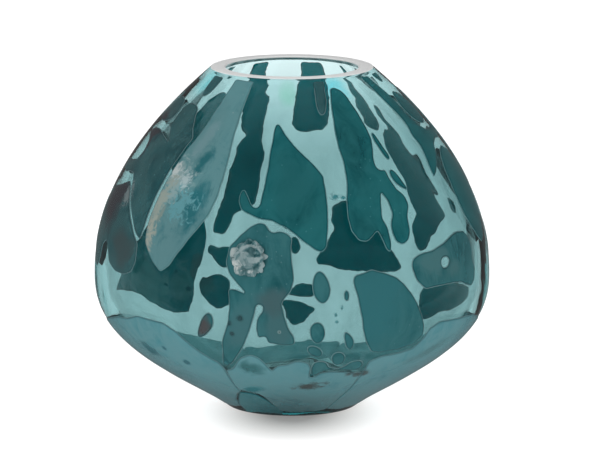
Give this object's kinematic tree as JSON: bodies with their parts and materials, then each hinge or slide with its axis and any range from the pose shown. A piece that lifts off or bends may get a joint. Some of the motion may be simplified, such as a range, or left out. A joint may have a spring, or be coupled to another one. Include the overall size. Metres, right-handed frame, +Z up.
{
  "type": "blown glass vase",
  "caption": "Squat round blown glass vase with a wide shoulder, small ground mouth and dark teal glass chips melted onto a clear wall.",
  "frame": {"origin": "centre of the foot's underside", "axes": "+Z up along the vase's axis, +Y to the back, -Y towards the front with the blister, +X to the right seen from the front"},
  "size_m": [0.2494, 0.2511, 0.216],
  "materials": {
    "clear_glass": "clear pale aqua blown glass, glossy, with a finely ground lip and foot ring",
    "teal_chip": "glossy dark teal colour glass, nearly opaque, softly streaked",
    "cloudy_chip": "glossy teal colour glass clouded with pale milky swirls",
    "smoky_chip": "glossy smoky blue green colour glass, paler than the rest",
    "blister_glass": "glossy wrinkled bubble cluster with bright highlights"
  },
  "bodies": {
    "root": {"body": "clear_glass", "brow_left": "teal_chip", "drip_left": "teal_chip", "lobe_left": "teal_chip", "lobe_low_left": "teal_chip", "cloud_leaf": "cloudy_chip", "leaf_low_left": "teal_chip", "kite": "teal_chip", "figure": "teal_chip", "lance": "teal_chip", "seed_right": "teal_chip", "bean_right": "teal_chip", "oval_upper": "teal_chip", "oval_lower": "teal_chip", "oval_pale": "smoky_chip", "oval_low_right": "teal_chip", "dot": "teal_chip", "leaf_tiny": "teal_chip", "band_low": "teal_chip", "lobe_low_right": "smoky_chip", "cloud_right": "teal_chip", "round_right": "teal_chip", "rim_tongue_front": "teal_chip", "shoulder_right": "teal_chip", "lobe_right": "teal_chip", "rim_oval_right": "teal_chip", "side_leaf_right": "teal_chip", "side_drop_right": "teal_chip", "rim_tongue_right": "teal_chip", "back_chip": "teal_chip", "back_band": "teal_chip", "back_sweep": "teal_chip", "back_streak": "teal_chip", "back_slab": "teal_chip", "back_spear": "teal_chip", "back_tongue": "teal_chip", "back_kite": "teal_chip", "back_nub": "teal_chip", "back_fin_upper": "teal_chip", "back_fin_lower": "teal_chip", "back_column": "teal_chip", "back_stub": "teal_chip", "back_plug": "teal_chip", "back_sheet_left": "teal_chip", "back_leaf_left": "teal_chip", "rim_tab_left": "teal_chip", "side_leaf_left": "teal_chip", "side_drop_left": "teal_chip", "skirt_left": "smoky_chip", "skirt_mid": "smoky_chip", "skirt_right": "smoky_chip", "skirt_back_right": "smoky_chip", "skirt_back_mid": "smoky_chip", "skirt_back_left": "smoky_chip", "blister": "blister_glass"}
  },
  "joints": []
}
